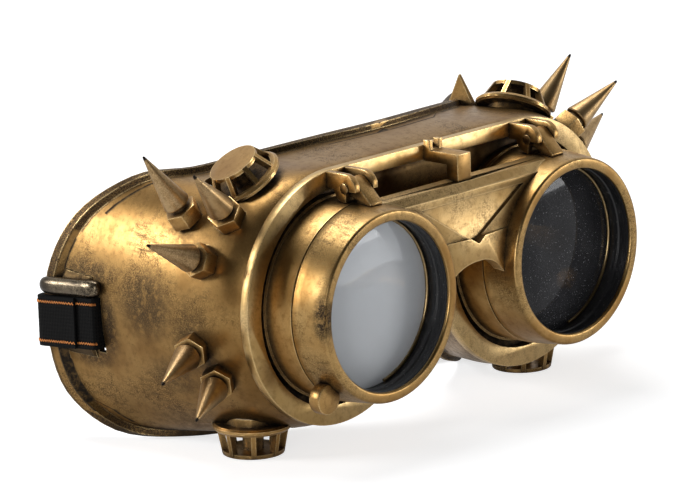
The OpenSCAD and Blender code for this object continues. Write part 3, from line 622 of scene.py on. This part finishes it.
def webbing_strip(name, rows, width_at, samples):
    """A flat strip of webbing along rows, with its own measure of metres along and across in its UV map."""
    bpy.ops.object.select_all(action="DESELECT")
    bpy.ops.mesh.primitive_grid_add(x_subdivisions=samples, y_subdivisions=10, size=1)
    strip = bpy.context.object
    strip.name = name
    lengths = [0.0]
    for k in range(measure_steps):
        lengths.append(lengths[-1] + (
            Vector(between(rows, (k + 1) / measure_steps)[:3]) - Vector(between(rows, k / measure_steps)[:3])
        ).length)
    table = strip.data.uv_layers.active.data
    for loop in strip.data.loops:
        flat_place = strip.data.vertices[loop.vertex_index].co
        share = flat_place.x + 0.5
        table[loop.index].uv = (lengths[round(share * measure_steps)], flat_place.y * strap_width)
    for corner in strip.data.vertices:
        share = corner.co.x + 0.5
        row = between(rows, share)
        corner.co = Vector(row[:3]) + width_at(rows, share) * corner.co.y * strap_width
    bpy.ops.object.mode_set(mode="EDIT")
    bpy.ops.mesh.select_all(action="SELECT")
    bpy.ops.mesh.normals_make_consistent(inside=False)
    bpy.ops.object.mode_set(mode="OBJECT")
    thick = strip.modifiers.new("thick", "SOLIDIFY")
    thick.thickness = strap_thickness
    thick.offset = 0
    bpy.ops.object.modifier_apply(modifier="thick")
    selvedge = strip.modifiers.new("selvedge", "BEVEL")
    selvedge.width = 0.0003
    selvedge.segments = 2
    selvedge.angle_limit = math.radians(50)
    bpy.ops.object.modifier_apply(modifier="selvedge")
    bpy.ops.object.shade_smooth_by_angle(angle=math.radians(60))
    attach(strip, "mask")
    return strip, lengths[-1]


def upright(rows, share):
    """The way up of a strip's width where it stands on edge all along."""
    return Vector((0, 0, 1))


def ribbed_webbing(name, cord_pitch=0.0011, rib_pitch=0.0007):
    """Black elastic webbing: fine cords along it, crossed by narrow ribs."""
    cloth = bpy.data.materials.new(name)
    cloth.use_nodes = True
    add, join, maths, spread = node_tools(cloth.node_tree)
    shader = cloth.node_tree.nodes["Principled BSDF"]
    measure = add("UVMap", uv_map="UVMap").outputs["UV"]

    def ribs(direction, pitch):
        scale = math.pi / (10 * pitch)
        wave = add("TexWave", bands_direction=direction, Scale=scale, Distortion=0.4, Detail=1)
        join(measure, wave.inputs["Vector"])
        return wave.outputs["Fac"]

    cords = ribs("Y", cord_pitch)
    cross_ribs = ribs("X", rib_pitch)
    weave = maths("ADD", maths("MULTIPLY", cords, 0.55), maths("MULTIPLY", cross_ribs, 0.45))
    fuzz = add("TexNoise", Scale=2600, Detail=3, Roughness=0.6)
    join(add("TexCoord").outputs["Object"], fuzz.inputs["Vector"])
    tone = add("Mix", data_type="RGBA")
    join(maths("MULTIPLY", spread(weave, 0.45, 0.95), spread(fuzz.outputs["Fac"], 0.3, 0.75)), tone.inputs[0])
    tone.inputs[6].default_value = (0.003, 0.003, 0.003, 1)
    tone.inputs[7].default_value = (0.010, 0.009, 0.008, 1)
    join(tone.outputs[2], shader.inputs["Base Color"])
    shader.inputs["Roughness"].default_value = 0.8
    shader.inputs["Specular IOR Level"].default_value = 0.1
    relief = add("Bump", Strength=0.7, Distance=0.00025)
    join(weave, relief.inputs["Height"])
    join(relief.outputs["Normal"], shader.inputs["Normal"])
    return cloth


def sewing_thread(name):
    """Orange thread, darker and lighter along its strands."""
    thread = bpy.data.materials.new(name)
    thread.use_nodes = True
    add, join = node_tools(thread.node_tree)[:2]
    shader = thread.node_tree.nodes["Principled BSDF"]
    strand = add("TexNoise", Scale=3200, Detail=2, Roughness=0.5)
    join(add("TexCoord").outputs["Object"], strand.inputs["Vector"])
    tone = add("Mix", data_type="RGBA")
    join(strand.outputs["Fac"], tone.inputs[0])
    tone.inputs[6].default_value = (0.35, 0.09, 0.012, 1)
    tone.inputs[7].default_value = (0.85, 0.30, 0.05, 1)
    join(tone.outputs[2], shader.inputs["Base Color"])
    shader.inputs["Roughness"].default_value = 0.6
    return thread


def zigzag_thread(name, rows, low, high, height):
    """One row of sewing thread that zigzags on a strip, between two shares of its route."""
    path = bpy.data.curves.new(name, "CURVE")
    path.dimensions = "3D"
    path.bevel_depth = thread_radius
    path.bevel_resolution = 1
    path.use_fill_caps = True
    line = path.splines.new("POLY")
    line.points.add(stitch_points - 1)
    for k in range(stitch_points):
        share = low + (high - low) * k / (stitch_points - 1)
        here = Vector(between(rows, share)[:3])
        before = Vector(between(rows, max(0, share - 0.01))[:3])
        after = Vector(between(rows, min(1, share + 0.01))[:3])
        out = (after - before).cross(Vector((0, 0, 1))).normalized()
        if out.dot(Vector((here.x, 0, 0))) < 0 and abs(out.x) > 0.3 or out.y < -0.3:
            out = -out
        sway = stitch_sway if k % 2 else -stitch_sway
        spot = here + out * (strap_thickness / 2 + thread_proud) + Vector((0, 0, height + sway))
        line.points[k].co = (*spot, 1)
    thread = bpy.data.objects.new(name, path)
    scene.collection.objects.link(thread)
    bpy.ops.object.select_all(action="DESELECT")
    bpy.context.view_layer.objects.active = thread
    thread.select_set(True)
    bpy.ops.object.convert(target="MESH")
    thread = bpy.context.object
    bpy.ops.object.shade_smooth()
    thread.data.materials.append(orange_thread)
    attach(thread, "mask")
    return thread


webbing_cloth = ribbed_webbing("black_webbing")
orange_thread = sewing_thread("orange_thread")
for side, sign in (("left", -1), ("right", 1)):
    loop_rows = on_temple(loop_route, sign, loop_height)
    fold_rows = on_temple(fold_route, sign, loop_height)
    loop, loop_length = webbing_strip("temple_loop_" + side, loop_rows, upright, 90)
    loop.data.materials.append(webbing_cloth)
    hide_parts("strap_loop_" + side)
    fold, fold_length = webbing_strip("loop_end_" + side, fold_rows, upright, 40)
    fold.data.materials.append(webbing_cloth)
    for row_name, height in (("upper", stitch_row), ("lower", -stitch_row)):
        zigzag_thread(f"loop_stitches_{row_name}_{side}", loop_rows, 0.30, 0.5, height)
        zigzag_thread(f"end_stitches_{row_name}_{side}", fold_rows, 0.01, 0.95, height)

# Head strap: the rest of the elastic webbing, from one temple loop to the other.
# It hangs inside the shell and turns over to lie flat on the table.
half_strap = (
    (77.92, 41.3, 37.2, 0), (75.26, 35.7, 36.9, 0), (75, 28.7, 35.3, 0.05), (72.4, 21.7, 29.8, 0.2),
    (68.6, 18.7, 21.8, 0.45), (62.6, 18.2, 13.3, 0.7), (54.6, 18.7, 6.5, 0.9), (45, 19.7, 2.5, 1),
    (32, 18.7, 1, 1), (16, 17.7, 0.8, 1), (0, 17.3, 0.8, 1),
)


def strap_width_at(rows, share):
    """The way across the head strap: upright where the row's last number is 0, level where it is 1."""
    here = between(rows, share)
    before = Vector(between(rows, max(0, share - 0.004))[:3])
    after = Vector(between(rows, min(1, share + 0.004))[:3])
    run = after - before
    level = run.cross(Vector((0, 0, 1))).normalized()
    standing = level.cross(run.normalized()).normalized()
    turn = math.radians(90 * max(0.0, min(1.0, here[3])))
    return standing * math.cos(turn) + level * math.sin(turn)


strap_rows = [(-x / 1000, y / 1000, z / 1000, turned) for x, y, z, turned in half_strap]
strap_rows += [(x / 1000, y / 1000, z / 1000, turned) for x, y, z, turned in half_strap[-2::-1]]
head_strap, strap_length = webbing_strip("elastic_head_strap", strap_rows, strap_width_at, 160)
head_strap.data.materials.append(webbing_cloth)
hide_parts("head_strap")

# Flip-up lens frame: one moulding with the bar, the beaked bridge and both barrels.
# It turns on the hinge pins, so everything from here on rides with it.
bridge = worked_copy("flip_bridge", "beaked_bridge", "lens_frame", softened=0.0004)
bridge.data.materials.append(aged_gold(
    "bridge_paint", pale=(0.74, 0.52, 0.24), warm=(0.46, 0.29, 0.11),
    rubbed=0.7, specks=1.0, wear_and_highlight=1.0, rough=0.36, washed=0.7
))

# Barrels: two short tubes that carry the lenses and widen a little towards the back, each with its hinge arm.
# The left one has a larger black scuff on its outer side.
barrel_paint = aged_gold(
    "barrel_paint", pale=(0.60, 0.40, 0.16), rubbed=0.7, specks=0.8, wear_and_highlight=1.0, rough=0.30, washed=0.75,
    scuffs_and_shadows=(((-0.0697, -0.0518, 0.0487), (0.007, 0.0042, 0.0105), 1.0),)
)
arm_paint = aged_gold("arm_paint", rubbed=0.6, specks=0.4, wear_and_highlight=1.0, rough=0.32)
for side in ("left", "right"):
    barrel = worked_copy(
        "barrel_" + side, "lens_barrel_" + side, "lens_frame", softened=0.0003, flat=0
    )
    barrel.data.materials.append(barrel_paint)
    arm = worked_copy(
        "hinge_arm_" + side, "hinge_lever_" + side, "lens_frame", softened=0.0003
    )
    arm.data.materials.append(arm_paint)

# Finger tab: a coin-shaped grip moulded on the outer side of the left barrel.
# A finger lifts the lens frame by it.
tab = worked_copy("finger_tab", "finger_grip", "lens_frame", softened=0.0005)
tab.data.materials.append(arm_paint)

# Lens sleeves: stepped satin black liners between the lip and the lens.
# Each split wire ring springs into the last step and holds the lens.
sleeve_black = black_plastic("sleeve_black", rough=0.3, dust=0.45)
wire_gold = aged_gold(
    "wire_gold", pale=(0.50, 0.36, 0.18), warm=(0.26, 0.18, 0.09),
    rubbed=0.2, specks=0.5, wear_and_highlight=0.3, rough=0.28, hollow_reach=0.0006
)
for side in ("left", "right"):
    sleeve = worked_copy(
        "lens_sleeve_" + side, "black_liner_" + side, "lens_frame", softened=0.0001
    )
    sleeve.data.materials.append(sleeve_black)
    ring = worked_copy("retaining_ring_" + side, "wire_ring_" + side, "lens_frame", facets=60)
    ring.data.materials.append(wire_gold)


# Lenses: flat discs of plastic sheet with dust on them, each held by its wire ring.
# The left one is partly clear sheet painted pale grey for the light seen in it, and the right one is smoked
# sheet darkened further as painted shade.
def lens_sheet(name, tint_and_painted_light, clear, dust, motes_from):
    """Plastic sheet with small pale specks of dust that lets part of the light through; the rest of it is
    painted in its given colour.
    """
    sheet = bpy.data.materials.new(name)
    sheet.use_nodes = True
    add, join, maths, spread = node_tools(sheet.node_tree)
    shader = sheet.node_tree.nodes["Principled BSDF"]
    place = add("TexCoord").outputs["Object"]
    motes = add("TexNoise", Scale=2600, Detail=2, Roughness=0.5)
    join(place, motes.inputs["Vector"])
    smear = add("TexNoise", Scale=90, Detail=5, Roughness=0.6)
    join(place, smear.inputs["Vector"])
    dusty = maths("MULTIPLY", spread(motes.outputs["Fac"], motes_from, motes_from + 0.04), dust)
    film = maths("MULTIPLY", spread(smear.outputs["Fac"], 0.35, 0.75), dust * 0.1)
    tone = add("Mix", data_type="RGBA")
    join(maths("ADD", dusty, film), tone.inputs[0])
    # The colour of the part that is not clear is painted light on the pale sheet and painted shade on the
    # smoked one.
    tone.inputs[6].default_value = (*tint_and_painted_light, 1)
    tone.inputs[7].default_value = (0.62, 0.63, 0.65, 1)
    join(tone.outputs[2], shader.inputs["Base Color"])
    join(maths("SUBTRACT", clear, maths("MULTIPLY", dusty, clear)), shader.inputs["Transmission Weight"])
    shader.inputs["Roughness"].default_value = 0.03
    shader.inputs["IOR"].default_value = 1.25
    return sheet


for side, sheet in (
    ("left", lens_sheet("pale_painted_light_sheet", (0.88, 0.91, 0.94), 0.28, 0.25, 0.70)),
    ("right", lens_sheet("smoked_painted_shade_sheet", (0.065, 0.065, 0.07), 0.6, 0.7, 0.68)),
):
    lens = worked_copy("lens_" + side, "smoked_disc_" + side, "lens_frame", softened=0.0002)
    lens.data.materials.append(sheet)
